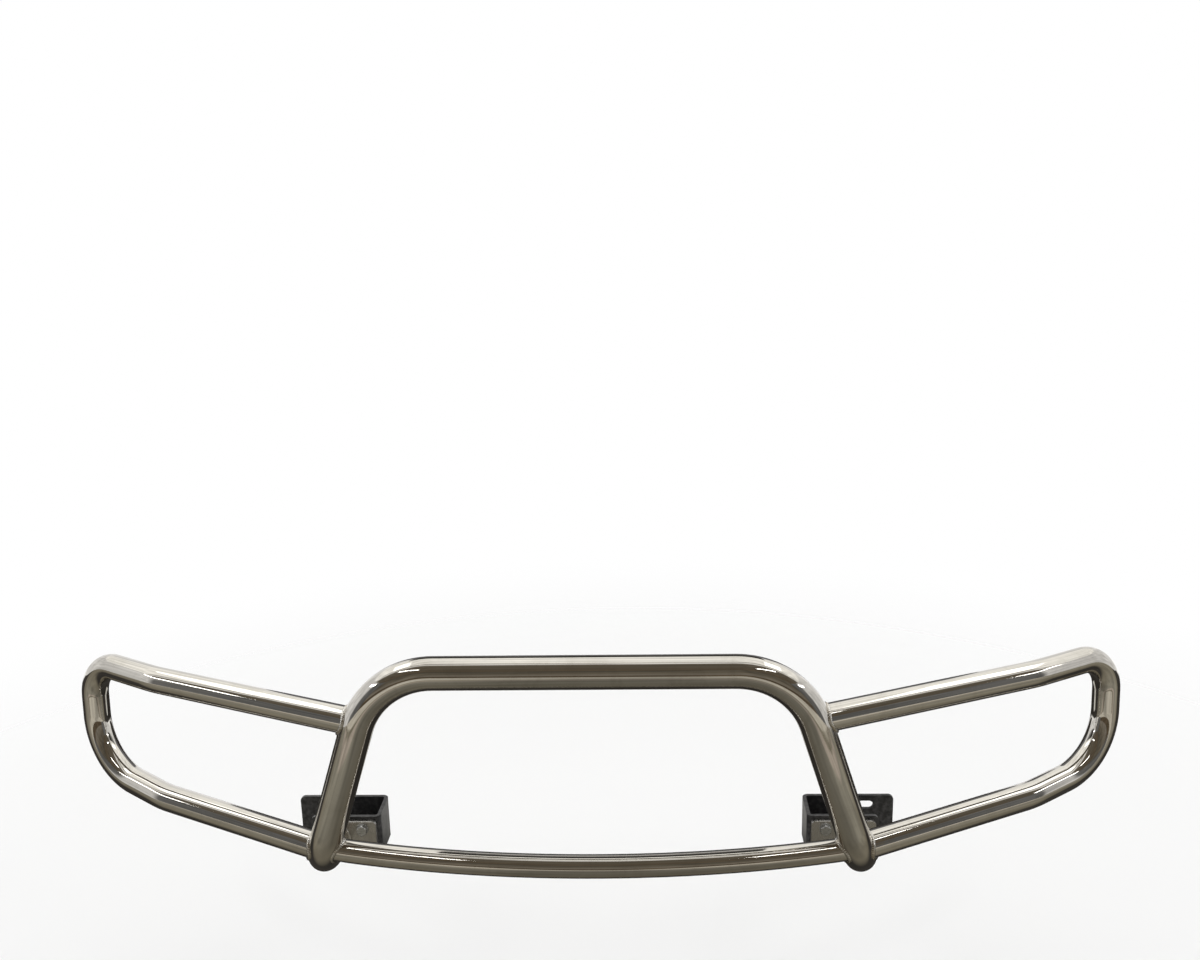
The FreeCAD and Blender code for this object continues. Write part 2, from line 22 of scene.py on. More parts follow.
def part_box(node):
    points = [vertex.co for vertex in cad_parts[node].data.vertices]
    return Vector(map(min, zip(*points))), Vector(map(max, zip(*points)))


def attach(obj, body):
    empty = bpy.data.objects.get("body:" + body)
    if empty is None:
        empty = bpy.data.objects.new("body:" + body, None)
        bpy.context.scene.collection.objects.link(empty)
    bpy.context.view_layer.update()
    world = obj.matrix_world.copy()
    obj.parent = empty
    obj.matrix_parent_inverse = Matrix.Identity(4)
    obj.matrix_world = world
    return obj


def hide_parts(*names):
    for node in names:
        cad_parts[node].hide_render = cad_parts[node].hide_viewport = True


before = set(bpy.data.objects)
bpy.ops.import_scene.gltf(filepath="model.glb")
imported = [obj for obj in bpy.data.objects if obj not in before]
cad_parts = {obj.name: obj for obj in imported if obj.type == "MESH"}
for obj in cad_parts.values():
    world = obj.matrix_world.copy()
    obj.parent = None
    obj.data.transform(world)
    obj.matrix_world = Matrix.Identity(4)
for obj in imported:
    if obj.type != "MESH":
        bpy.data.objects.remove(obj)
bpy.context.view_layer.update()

LOG = logging.getLogger("guard")
UNROLLED = "unrolled"
ROOT = "root"
MERGE_DISTANCE = 1e-6
HALVINGS = 24


# ---------------------------------------------------------------- named choices
class Side(Enum):
    """Which half of the guard a piece is on, with the sign of its X."""

    RIGHT = 1.0
    LEFT = -1.0

    def named(self, part: str) -> str:
        """A part's name on this side, as the CAD nodes spell it."""
        return f"{self.name.lower()}_{part}"

    def place(self, point: Vector) -> Vector:
        """The same point on this side, given on the right side."""
        return Vector((point.x * self.value, point.y, point.z))


class Slot(Enum):
    """The material slots, each with its own finish."""

    TUBE = "polished_tube"
    WELD = "weld"
    PLATE = "flange_steel"
    BRACKET = "bracket_paint"
    ZINC = "zinc_fastener"


# ---------------------------------------------------------------- node wiring
class Bench:
    """A node tree on the bench, with short calls that place and join its nodes."""

    def __init__(self, tree: NodeTree) -> None:
        """Start from an empty tree."""
        self.tree = tree
        self.tree.nodes.clear()

    def put(self, kind: str, inputs: dict | None = None, **settings: object) -> Node:
        """Place one node.

        Args:
            kind: The node's type name, without the leading "ShaderNode".
            inputs: What its input sockets get, by name or number: values, or the
                output sockets that are joined to them.
            settings: The node's own properties.

        Returns:
            The new node.
        """
        node = self.tree.nodes.new(kind if kind.startswith("Node") else "ShaderNode" + kind)
        for key, value in settings.items():
            setattr(node, key, value)
        for key, value in (inputs or {}).items():
            if isinstance(value, NodeSocket):
                self.tree.links.new(value, node.inputs[key])
            else:
                node.inputs[key].default_value = value
        return node

    def sums(self, work: str, one: object, two: object, clamp: bool = False) -> NodeSocket:
        """A Math node's result on two values, each a socket or a number."""
        return self.put("Math", {0: one, 1: two}, operation=work, use_clamp=clamp).outputs[0]

    def times(self, one: object, two: object) -> NodeSocket:
        """The product of two values, each a socket or a number."""
        return self.sums("MULTIPLY", one, two)

    def plus(self, one: object, two: object) -> NodeSocket:
        """The sum of two values, each a socket or a number."""
        return self.sums("ADD", one, two)

    def spread(self, value: NodeSocket, low: float, high: float,
               out_low: float = 0.0, out_high: float = 1.0) -> NodeSocket:
        """Map a span of a value onto another span, held at both ends."""
        ends = {0: value, 1: low, 2: high, 3: out_low, 4: out_high}
        return self.put("MapRange", ends, clamp=True).outputs[0]

    def blend(self, share: NodeSocket, one: object, two: object) -> NodeSocket:
        """Mix two colours, each a socket or four numbers. A share of 0 gives the first."""
        return self.put("Mix", {"Factor": share, 6: one, 7: two}, data_type="RGBA").outputs[2]

    def mixed(self, share: NodeSocket, one: Node, two: Node) -> Node:
        """Mix two shaders. A share of 0 gives the first."""
        return self.put("MixShader", {0: share, 1: one.outputs[0], 2: two.outputs[0]})

    def stretched(self, source: NodeSocket, scale: tuple) -> NodeSocket:
        """Coordinates scaled along each axis, so that a pattern on them is drawn out."""
        return self.put("Mapping", {"Vector": source, "Scale": scale}).outputs["Vector"]

    def speckle(self, where: NodeSocket, scale: object, detail: float = 2.0,
                rough: float = 0.5, warp: float = 0.0) -> NodeSocket:
        """A Noise texture's value on some coordinates.

        Args:
            where: Coordinates socket.
            scale: Cells per unit of the coordinates, a socket or a number.
            detail: Number of octaves.
            rough: How much the finer octaves weigh.
            warp: How far the pattern is pulled about.

        Returns:
            The value output socket, about 0.5 on average.
        """
        return self.put("TexNoise", {"Vector": where, "Scale": scale, "Detail": detail,
                                     "Roughness": rough, "Distortion": warp}).outputs[0]


class Effect(Bench):
    """A shader node group shared by several finishes."""

    def __init__(self, name: str, **numbers: float) -> None:
        """Open the group with a Vector and its other inputs.

        Args:
            name: The group's name.
            numbers: Names of its other inputs, each with its default.
        """
        super().__init__(bpy.data.node_groups.new(name, "ShaderNodeTree"))
        self.tree.interface.new_socket("Vector", in_out="INPUT", socket_type="NodeSocketVector")
        for label, value in numbers.items():
            made = self.tree.interface.new_socket(label, in_out="INPUT",
                                                  socket_type="NodeSocketFloat")
            made.default_value = value
        self.given = self.put("NodeGroupInput").outputs

    def give(self, **results: NodeSocket) -> NodeTree:
        """Close the group with its outputs.

        Args:
            results: Names of its outputs, each with the socket that feeds it.

        Returns:
            The group.
        """
        for label in results:
            self.tree.interface.new_socket(label, in_out="OUTPUT", socket_type="NodeSocketFloat")
        self.put("NodeGroupOutput", results)
        return self.tree


@cache
def rolling_waves() -> NodeTree:
    """Slow swells that a bender and a polishing wheel leave in a tube's skin.

    Returns:
        A group with a Vector, a Size and a Depth, and the Height of the skin.
    """
    group = Effect("rolling_waves", Size=0.08, Depth=0.0001)
    where, size, depth = group.given[:3]
    long_way = group.stretched(where, (0.45, 1.6, 1.6))
    slow = group.speckle(long_way, group.sums("DIVIDE", 1.0, size), detail=1.5, rough=0.4)
    quick = group.speckle(where, group.sums("DIVIDE", 4.5, size), detail=1.0, rough=0.4)
    return group.give(Height=group.times(group.plus(slow, group.times(quick, 0.12)), depth))


@cache
def wheel_lines() -> NodeTree:
    """Fine lines from belt and wheel, long one way and close together the other way.

    Returns:
        A group with a Vector, a Pitch and a Depth, and the lines' Height and Shade.
    """
    group = Effect("wheel_lines", Pitch=0.0012, Depth=0.000004)
    where, pitch, depth = group.given[:3]
    drawn = group.stretched(where, (1.0, 0.035, 0.035))
    lines = group.speckle(drawn, group.sums("DIVIDE", 1.0, pitch), detail=3.0, rough=0.6)
    return group.give(Height=group.times(lines, depth), Shade=group.spread(lines, 0.35, 0.65))


@cache
def handling_marks() -> NodeTree:
    """Smears, water spots and thin dust that settle on a part in use.

    Returns:
        A group with a Vector and a Size, and the Smear, Spots and Dust masks.
    """
    group = Effect("handling_marks", Size=0.05)
    where, size = group.given[:2]
    cells = group.sums("DIVIDE", 1.0, size)
    smear = group.speckle(where, cells, detail=4.0, rough=0.62, warp=1.4)
    drops = group.put("TexVoronoi", {"Vector": where, "Scale": group.times(cells, 7.0),
                                     "Randomness": 1.0}, feature="F1")
    rim = group.spread(drops.outputs["Distance"], 0.16, 0.24, 1.0, 0.0)
    sparse = group.spread(group.speckle(where, 31.0, detail=1.0), 0.56, 0.62)
    normal = group.put("NewGeometry").outputs["Normal"]
    lying = group.spread(group.put("SeparateXYZ", {0: normal}).outputs["Z"], 0.25, 1.0)
    grain = group.spread(group.speckle(where, 240.0, detail=3.0, rough=0.7), 0.35, 0.75)
    return group.give(Smear=group.spread(smear, 0.48, 0.72), Spots=group.times(rim, sparse),
                      Dust=group.times(lying, grain))


@cache
def worn_edges() -> NodeTree:
    """A ragged mask on the outward edges of a piece, where paint and plating rub thin.

    Returns:
        A group with a Vector, a Reach and a Grain, and the Wear mask.
    """
    group = Effect("worn_edges", Reach=0.06, Grain=90.0)
    where, reach, grain = group.given[:3]
    sharp = group.put("NewGeometry").outputs["Pointiness"]
    ragged = group.speckle(where, grain, detail=4.0, rough=0.65)
    jitter = group.times(group.sums("SUBTRACT", ragged, 0.5), 0.12)
    lifted = group.sums("SUBTRACT", group.plus(sharp, jitter), 0.53)
    return group.give(Wear=group.sums("DIVIDE", lifted, reach, clamp=True))


class Sheet(Bench):
    """The node tree of a new material."""

    def __init__(self, name: str) -> None:
        """Open the material.

        Args:
            name: The material's name.
        """
        self.material = bpy.data.materials.new(name)
        self.material.use_nodes = True
        super().__init__(self.material.node_tree)

    def show(self, shader: Node) -> Material:
        """Make a shader the material's surface."""
        self.put("OutputMaterial", {"Surface": shader.outputs[0]})
        return self.material

    def in_place(self) -> NodeSocket:
        """Coordinates in the part's own frame."""
        return self.put("TexCoord").outputs["Object"]


def shade(red: float, green: float, blue: float) -> tuple:
    """A colour with full alpha."""
    return (red, green, blue, 1.0)


# ---------------------------------------------------------------- finishes
class Finish(Sheet):
    """A finish's material, round a Principled BSDF. Each finish lays itself on its own way."""

    NAME = "finish"
    METALLIC = 1.0

    def __init__(self) -> None:
        """Open the material and lay the finish on it."""
        super().__init__(self.NAME)
        self.shader = self.put("BsdfPrincipled", {"Metallic": self.METALLIC})
        self.show(self.shader)
        self.lay()

    def share(self, effect: NodeTree, where: NodeSocket, **values: float) -> object:
        """The outputs of a shared effect, placed on some coordinates with its own values."""
        return self.put("Group", {"Vector": where, **values}, node_tree=effect).outputs

    def dress(self, colour: NodeSocket, roughness: NodeSocket, height: NodeSocket) -> None:
        """Feed the shader.

        Args:
            colour: The base colour.
            roughness: The roughness.
            height: The relief, in metres.
        """
        relief = self.put("Bump", {"Strength": 1.0, "Distance": 1.0, "Height": height})
        for label, source in (("Base Color", colour), ("Roughness", roughness),
                              ("Normal", relief.outputs[0])):
            self.tree.links.new(source, self.shader.inputs[label])

    def lay(self) -> None:
        """Lay the colours, the gloss and the relief."""
        raise NotImplementedError


class MirrorSteel(Finish):
    """Stainless tube, mirror polished, with faint wheel lines, swells and smears."""

    NAME = "mirror_polished_stainless"
    BRIGHT = shade(0.60, 0.575, 0.53)
    DULL = shade(0.50, 0.475, 0.43)
    DULLED = 0.6
    GLOSS = 0.03
    SMEARED = 0.0605
    SPOTTED = 0.055
    STREAKED = 0.03

    def lay(self) -> None:
        """Lay the polish along the tube, whichever way it is bent."""
        where = self.put("Attribute", attribute_name=UNROLLED).outputs["Vector"]
        waves = self.share(rolling_waves(), where, Size=0.075, Depth=0.00026)
        lines = self.share(wheel_lines(), where, Pitch=0.0011, Depth=0.0000012)
        marks = self.share(handling_marks(), where, Size=0.06)
        colour = self.blend(self.times(marks["Smear"], self.DULLED), self.BRIGHT, self.DULL)
        haze = self.plus(self.times(marks["Smear"], self.SMEARED),
                         self.times(marks["Spots"], self.SPOTTED))
        haze = self.plus(haze, self.times(lines["Shade"], self.STREAKED))
        self.dress(colour, self.sums("ADD", haze, self.GLOSS, clamp=True),
                   self.plus(waves["Height"], lines["Height"]))


class WeldMetal(Finish):
    """Bead metal: rippled, brushed after welding, with a faint straw and blue heat tint."""

    NAME = "brushed_weld_metal"
    CLEAN = shade(0.62, 0.60, 0.56)
    STRAW = shade(0.52, 0.43, 0.30)
    BLUE = shade(0.33, 0.36, 0.43)
    STRAWED = 0.55
    BLUED = 0.5
    LEAST_SOOT = 0.13
    MOST_SOOT = 0.34

    def lay(self) -> None:
        """Lay the heat tint and the soot."""
        where = self.in_place()
        tint = self.speckle(where, 75.0)
        straw = self.spread(tint, 0.50, 0.68, 0.0, self.STRAWED)
        blue = self.spread(tint, 0.64, 0.78, 0.0, self.BLUED)
        colour = self.blend(blue, self.blend(straw, self.CLEAN, self.STRAW), self.BLUE)
        soot = self.speckle(where, 420.0, detail=3.0, rough=0.6)
        pores = self.share(wheel_lines(), where, Pitch=0.0009, Depth=0.00002)
        self.dress(colour, self.spread(soot, 0.3, 0.75, self.LEAST_SOOT, self.MOST_SOOT),
                   pores["Height"])


class SatinPlate(Finish):
    """Flange plate: stainless, sanded one way, with cut marks and smears."""

    NAME = "satin_stainless_plate"
    BRIGHT = shade(0.58, 0.565, 0.54)
    DARK = shade(0.42, 0.405, 0.38)
    LINED = 0.35
    SMEARED = 0.45
    GLOSSIEST = 0.24
    DULLEST = 0.46

    def lay(self) -> None:
        """Lay the sanding lines and the smears."""
        where = self.in_place()
        grain = self.share(wheel_lines(), where, Pitch=0.0006, Depth=0.000006)
        marks = self.share(handling_marks(), where, Size=0.03)
        tone = self.sums("ADD", self.times(grain["Shade"], self.LINED),
                         self.times(marks["Smear"], self.SMEARED), clamp=True)
        self.dress(self.blend(tone, self.BRIGHT, self.DARK),
                   self.spread(tone, 0.0, 1.0, self.GLOSSIEST, self.DULLEST), grain["Height"])


class BlackCoat(Finish):
    """Bracket paint: black powder coat with its orange peel, rubbed edges and thin dust."""

    NAME = "black_powder_coat"
    METALLIC = 0.0
    BLACK = shade(0.014, 0.014, 0.015)
    FADED = shade(0.019, 0.019, 0.020)
    RUBBED = shade(0.16, 0.155, 0.15)
    DUSTY = shade(0.11, 0.10, 0.088)
    DUST = 0.09
    RUB = 0.7
    GLOSS = 0.34
    SMEARED = 0.08
    PEEL_DEPTH = 0.00010
    PIMPLE_DEPTH = 0.00002

    def lay(self) -> None:
        """Lay the paint, its dust, its rubbed edges and its peel."""
        where = self.in_place()
        marks = self.share(handling_marks(), where, Size=0.05)
        wear = self.share(worn_edges(), where, Reach=0.08, Grain=140.0)
        colour = self.blend(marks["Smear"], self.BLACK, self.FADED)
        colour = self.blend(self.times(marks["Dust"], self.DUST), colour, self.DUSTY)
        colour = self.blend(self.times(wear["Wear"], self.RUB), colour, self.RUBBED)
        peel = self.times(self.speckle(where, 620.0), self.PEEL_DEPTH)
        pimples = self.times(self.speckle(where, 1900.0, detail=1.0), self.PIMPLE_DEPTH)
        self.dress(colour, self.plus(self.times(marks["Smear"], self.SMEARED), self.GLOSS),
                   self.plus(peel, pimples))


class ZincPlate(Finish):
    """Fastener plating: bright zinc, lightly mottled, with a white bloom and rubbed corners."""

    NAME = "bright_zinc_plate"
    SILVER = shade(0.66, 0.67, 0.68)
    MOTTLED = shade(0.47, 0.475, 0.47)
    BLOOM = shade(0.74, 0.74, 0.72)
    BLOOMED = 0.3
    RUB = 0.5
    GLOSSIEST = 0.22
    DULLEST = 0.42
    MOTTLE_DEPTH = 0.000012

    def lay(self) -> None:
        """Lay the mottling, the bloom and the rubbed corners."""
        where = self.in_place()
        patch = self.spread(self.speckle(where, 300.0, detail=3.0, rough=0.6), 0.35, 0.7)
        marks = self.share(handling_marks(), where, Size=0.012)
        wear = self.share(worn_edges(), where, Reach=0.10, Grain=300.0)
        colour = self.blend(patch, self.SILVER, self.MOTTLED)
        colour = self.blend(self.times(marks["Dust"], self.BLOOMED), colour, self.BLOOM)
        colour = self.blend(self.times(wear["Wear"], self.RUB), colour, self.MOTTLED)
        self.dress(colour, self.spread(patch, 0.0, 1.0, self.GLOSSIEST, self.DULLEST),
                   self.times(patch, self.MOTTLE_DEPTH))


FINISHES = {Slot.TUBE: MirrorSteel, Slot.WELD: WeldMetal, Slot.PLATE: SatinPlate,
            Slot.BRACKET: BlackCoat, Slot.ZINC: ZincPlate}


@cache
def finish_for(slot: Slot) -> Material:
    """A slot's finish, made when the first piece asks for it."""
    return FINISHES[slot]().material


# ---------------------------------------------------------------- tube routes
@dataclass(frozen=True)
class Straight:
    """A straight run of a tube's centreline."""

    start: Vector
    end: Vector

    @property
    def length(self) -> float:
        """Length of the run."""
        return (self.end - self.start).length

    @property
    def heading(self) -> Vector:
        """Direction of the run."""
        return (self.end - self.start).normalized()

    def gone(self, point: Vector) -> float:
        """Distance run at the end ring, which every point is on."""
        return self.length

    def away(self, point: Vector) -> float:
        """Distance of a point from the run."""
        along = self.end - self.start
        share = (point - self.start).dot(along) / along.length_squared
        return (point - self.start - along * min(1.0, max(0.0, share))).length


@dataclass(frozen=True)
class Bend:
    """An arc of a tube's centreline, turned about an axis through a pivot."""

    pivot: Vector
    axis: Vector
    start: Vector
    turn: float

    @property
    def radius(self) -> float:
        """Bend radius to the tube's middle."""
        return (self.start - self.pivot).length

    @property
    def length(self) -> float:
        """Length of the arc."""
        return self.radius * self.turn

    def swept(self, point: Vector) -> float:
        """Angle from the start of the bend round to a point."""
        first = (self.start - self.pivot).normalized()
        arm = point - self.pivot
        return math.atan2(arm.dot(self.axis.cross(first)), arm.dot(first))

    def gone(self, point: Vector) -> float:
        """Distance run along the arc's middle line at a point."""
        return self.radius * self.swept(point)

    def away(self, point: Vector) -> float:
        """Distance of a point from the arc, or from its nearer end."""
        angle = min(self.turn, max(0.0, self.swept(point)))
        reach = Matrix.Rotation(angle, 3, self.axis) @ (self.start - self.pivot)
        return (point - self.pivot - reach).length


@dataclass
class Route:
    """A tube's centreline: straight runs joined by tangent bends."""

    runs: list

    @classmethod
    def through(cls, corners: list[Vector], radii: list[float]) -> "Route":
        """Lay a route round corners.

        Args:
            corners: The start, each corner, and the end.
            radii: Bend radius at each inner corner.

        Returns:
            The route.
        """
        runs: list = []
        start = corners[0]
        for radius, before, corner, after in zip(radii, corners, corners[1:], corners[2:]):
            arriving = (corner - before).normalized()
            leaving = (after - corner).normalized()
            turn = arriving.angle(leaving)
            reach = radius * math.tan(turn / 2)
            first = corner - arriving * reach
            axis = arriving.cross(leaving).normalized()
            runs.append(Straight(start, first))
            runs.append(Bend(first + axis.cross(arriving) * radius, axis, first, turn))
            start = corner + leaving * reach
        runs.append(Straight(start, corners[-1]))
        return cls(runs)

    def away(self, point: Vector) -> float:
        """Distance of a point from the centreline."""
        return min(run.away(point) for run in self.runs)


def slide_to_surface(route: Route, radius: float, point: Vector, heading: Vector,
                     reach: float = 0.11) -> float:
    """How far a point slides along a heading to come out at the skin of another tube.

    Args:
        route: The other tube's centreline.
        radius: The other tube's outer radius.
        point: A point inside the other tube.
        heading: Unit direction out of it.
        reach: A distance at which the point is surely outside.

    Returns:
        The distance to slide.
    """
    inside, outside = 0.0, reach
    for _ in range(HALVINGS):
        middle = (inside + outside) / 2
        if route.away(point + heading * middle) < radius:
            inside = middle
        else:
            outside = middle
    return (inside + outside) / 2


def facing(point: Vector, heading: Vector) -> Matrix:
    """Placement at a point whose Z axis runs along a heading."""
    turned = heading.to_track_quat("Z", "Y").to_matrix().to_4x4()
    return Matrix.Translation(point) @ turned


# ---------------------------------------------------------------- pieces
def link_mesh(mesh: BMesh, name: str, finish: Material) -> Object:
    """Put a modelled mesh in the scene.

    Args:
        mesh: The mesh, in place. It is freed.
        name: The object's name.
        finish: Its material.

    Returns:
        The new object.
    """
    data = bpy.data.meshes.new(name)
    mesh.to_mesh(data)
    mesh.free()
    data.materials.append(finish)
    piece = bpy.data.objects.new(name, data)
    bpy.context.scene.collection.objects.link(piece)
    return piece


def finish_piece(mesh: BMesh, name: str, slot: Slot, node: str) -> Object:
    """Turn a modelled mesh into a piece that rides on the guard.

    Args:
        mesh: The mesh, in place. It is freed.
        name: The piece's name.
        slot: The slot for its finish.
        node: The CAD node it is shown in place of.

    Returns:
        The new object.
    """
    for face in mesh.faces:
        face.smooth = True
    piece = link_mesh(mesh, name, finish_for(slot))
    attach(piece, ROOT)
    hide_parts(node)
    LOG.info("%s: %d faces, slot %s", name, len(piece.data.polygons), slot.value)
    return piece


def draw_out(mesh: BMesh, rim: list) -> tuple[list, list]:
    """Extrude an open rim, and leave the new ring where the rim is.

    Args:
        mesh: The mesh that it belongs to.
        rim: The rim's edges.

    Returns:
        The new ring's vertices, and the edges of the new rim.
    """
    made = bmesh.ops.extrude_edge_only(mesh, edges=rim)["geom"]
    ring = [item for item in made if isinstance(item, BMVert)]
    kept = set(ring)
    return ring, [item for item in made
                  if isinstance(item, BMEdge) and kept.issuperset(item.verts)]


@dataclass
class TubeRun:
    """One round tube, made as a bender makes it: straight runs and bends in turn."""

    route: Route
    radius: float
    wall: float
    facets: int = 72
    bend_step: float = 0.0065
    fewest_steps: int = 6
    crisp_angle: float = 40.0

    def extend(self, mesh: BMesh, rim: list, run: Straight | Bend) -> list:
        """Carry the tube's open rim along one run.

        Args:
            mesh: The tube so far.
            rim: Edges of its open end.
            run: The run to follow.

        Returns:
            The edges of the new open end.
        """
        unrolled = mesh.verts.layers.float_vector[UNROLLED]
        known = len(mesh.verts)
        if isinstance(run, Straight):
            ring, rim = draw_out(mesh, rim)
            bmesh.ops.translate(mesh, verts=ring, vec=run.end - run.start)
        else:
            steps = max(self.fewest_steps, round(run.length / self.bend_step))
            made = bmesh.ops.spin(mesh, geom=rim, cent=run.pivot, axis=run.axis,
                                  angle=run.turn, steps=steps, use_merge=False)
            rim = [item for item in made["geom_last"] if isinstance(item, BMEdge)]
        mesh.verts.ensure_lookup_table()
        for vert in mesh.verts[known:]:
            vert[unrolled] = vert[unrolled] + Vector((run.gone(vert.co), 0.0, 0.0))
        return rim

    def roll(self) -> BMesh:
        """Make the tube's outer skin along its whole route.

        Returns:
            The open skin.
        """
        mesh = bmesh.new()
        unrolled = mesh.verts.layers.float_vector.new(UNROLLED)
        bmesh.ops.create_circle(mesh, cap_ends=False, segments=self.facets, radius=self.radius)
        for vert in mesh.verts:
            vert[unrolled] = Vector((0.0, vert.co.x, vert.co.y))
        first = self.route.runs[0]
        bmesh.ops.transform(mesh, matrix=facing(first.start, first.heading), verts=mesh.verts)
        rim = list(mesh.edges)
        for run in self.route.runs:
            rim = self.extend(mesh, rim, run)
        bmesh.ops.recalc_face_normals(mesh, faces=mesh.faces)
        return mesh

    def give_wall(self, mesh: BMesh) -> None:
        """Give the skin its wall, inwards, and keep the cut ends crisp."""
        bmesh.ops.solidify(mesh, geom=mesh.faces[:], thickness=self.wall)
        for edge in mesh.edges:
            edge.smooth = edge.calc_face_angle(0.0) < math.radians(self.crisp_angle)


@dataclass
class CentreHoop:
    """The one bent tube in the middle: top bar, corners, splayed legs and tails."""

    radius: float = 0.0254
    wall: float = 0.002
    facets: int = 80
    half_top: float = 0.314
    corner_bend: float = 0.125
    tail_bend: float = 0.080
    route: Route = field(init=False)
    foot: Vector = field(init=False)
    shoulder: Vector = field(init=False)

    def __post_init__(self) -> None:
        """Take the hoop's height, plane and spread from its CAD node."""
        low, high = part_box("hoop_tube")
        top = high.z - self.radius
        plane = low.y + self.radius
        self.foot = Vector((high.x - self.radius, plane, low.z + self.radius))
        self.shoulder = Vector((self.half_top, plane, top))
        tail = Vector((self.foot.x, high.y, self.foot.z))
        right = [tail, self.foot, self.shoulder]
        left = [Side.LEFT.place(point) for point in reversed(right)]
        self.route = Route.through(right + left, [self.tail_bend, self.corner_bend,
                                                  self.corner_bend, self.tail_bend])

    def leg_point(self, height: float) -> Vector:
        """Point on the right leg's line at a height."""
        share = (height - self.foot.z) / (self.shoulder.z - self.foot.z)
        return self.foot.lerp(self.shoulder, share)

    def on_bend(self, height: float) -> Vector:
        """Point of the right tail bend's centreline at a height."""
        point = self.leg_point(height)
        lean = (self.shoulder - self.foot).normalized().z
        sine = max(0.0, 1.0 - (height - self.foot.z) / (self.tail_bend * lean))
        point.y += self.tail_bend * (1.0 - math.sqrt(1.0 - sine * sine))
        return point

    def build(self) -> Object:
        """Model the hoop and dress it."""
        tube = TubeRun(self.route, self.radius, self.wall, self.facets)
        mesh = tube.roll()
        tube.give_wall(mesh)
        return finish_piece(mesh, "centre_hoop", Slot.TUBE, "hoop_tube")


@dataclass
class BranchTube:
    """A tube whose ends are coped and welded to the hoop."""

    name: str
    node: str
    route: Route
    radius: float
    wall: float
    hoop: CentreHoop
    beads: tuple
    seed: float
    root_gap: float = 0.0002
    end_reach: float = 1.01

    def ends(self) -> list[tuple[Vector, Vector]]:
        """Both joint points, each with the heading away from the hoop."""
        first, last = self.route.runs[0], self.route.runs[-1]
        return [(first.start, first.heading), (last.end, -last.heading)]

    def cope(self, mesh: BMesh) -> None:
        """Slide each end ring along the tube until it lies on the hoop's skin."""
        rim = {vert for edge in mesh.edges if edge.is_boundary for vert in edge.verts}
        skin = self.hoop.radius + self.root_gap
        for point, heading in self.ends():
            for vert in [v for v in rim if (v.co - point).length < self.radius * self.end_reach]:
                vert.co += heading * slide_to_surface(self.hoop.route, skin, vert.co, heading)

    def build(self) -> None:
        """Model the tube and the bead at each end, and dress them."""
        tube = TubeRun(self.route, self.radius, self.wall)
        mesh = tube.roll()
        self.cope(mesh)
        tube.give_wall(mesh)
        finish_piece(mesh, self.name, Slot.TUBE, self.node)
        for number, (point, heading) in enumerate(self.ends()):
            name, node = self.beads[number]
            WeldRing(name, node, point, heading, self.radius,
                     lambda spot, way: slide_to_surface(self.hoop.route, self.hoop.radius,
                                                        spot, way),
                     self.seed + number).build()


@dataclass
class WingLoop:
    """The tube loop that sweeps back round one corner of the bumper."""

    side: Side
    hoop: CentreHoop
    radius: float = 0.0212
    wall: float = 0.002
    top_drop: float = 0.078
    low_height: float = 0.040
    knee_reach: float = 0.698
    reach: float = 0.836
    sweep: float = 20.0
    tip_sweep: float = 29.0
    rises: tuple = (2.4, 1.0, 9.0, 6.0)
    bends: tuple = (0.190, 0.056, 0.106, 0.190)
    seed: float = 3.0

    @staticmethod
    def heading(sweep: float, rise: float) -> Vector:
        """Direction outward and back, by two angles in degrees, one metre across."""
        return Vector((1.0, math.tan(math.radians(sweep)), math.tan(math.radians(rise))))

    def corners(self) -> list[Vector]:
        """Corners of the loop's centreline on the right side, from the top joint round."""
        top_joint = self.hoop.leg_point(self.hoop.shoulder.z - self.top_drop)
        low_joint = self.hoop.on_bend(self.low_height)
        tip_run = self.reach - self.knee_reach
        top_rise, top_tip_rise, low_tip_rise, low_rise = self.rises
        top_knee = top_joint + self.heading(self.sweep, top_rise) * (self.knee_reach - top_joint.x)
        low_knee = low_joint + self.heading(self.sweep, low_rise) * (self.knee_reach - low_joint.x)
        top_tip = top_knee + self.heading(self.tip_sweep, top_tip_rise) * tip_run
        low_tip = low_knee + self.heading(self.tip_sweep, low_tip_rise) * tip_run
        return [top_joint, top_knee, top_tip, low_tip, low_knee, low_joint]

    def branch(self) -> BranchTube:
        """The loop as a tube coped to the hoop at both ends."""
        corners = [self.side.place(point) for point in self.corners()]
        named = self.side.named
        return BranchTube(named("wing_loop"), named("wing_tube"),
                          Route.through(corners, list(self.bends)), self.radius, self.wall,
                          self.hoop, ((named("wing_top_bead"), named("wing_top_weld")),
                                      (named("wing_low_bead"), named("wing_low_weld"))),
                          self.seed * self.side.value)


@dataclass
class CrossBar:
    """The thinner lower tube between the legs, bowed forward in one long arc."""

    hoop: CentreHoop
    radius: float = 0.0175
    wall: float = 0.002
    height: float = 0.041
    bow: float = 0.052
    lead: float = 0.045
    seed: float = 11.0

    def branch(self) -> BranchTube:
        """The bar as a tube coped to both legs."""
        right = self.hoop.on_bend(self.height)
        left = Side.LEFT.place(right)
        arc_radius = (right.x ** 2 + self.bow ** 2) / (2 * self.bow)
        pivot = Vector((0.0, right.y - self.bow + arc_radius, right.z))
        axis = Vector((0.0, 0.0, 1.0))
        whole = 2 * math.asin(right.x / arc_radius)
        skip = self.lead / arc_radius
        arm = left - pivot
        first = pivot + Matrix.Rotation(skip, 3, axis) @ arm
        last = pivot + Matrix.Rotation(whole - skip, 3, axis) @ arm
        route = Route([Straight(left, first), Bend(pivot, axis, first, whole - 2 * skip),
                       Straight(last, right)])
        return BranchTube("lower_cross_bar", "lower_cross_tube", route, self.radius, self.wall,
                          self.hoop, (("left_cross_bar_bead", "left_cross_tube_weld"),
                                      ("right_cross_bar_bead", "right_cross_tube_weld")),
                          self.seed)


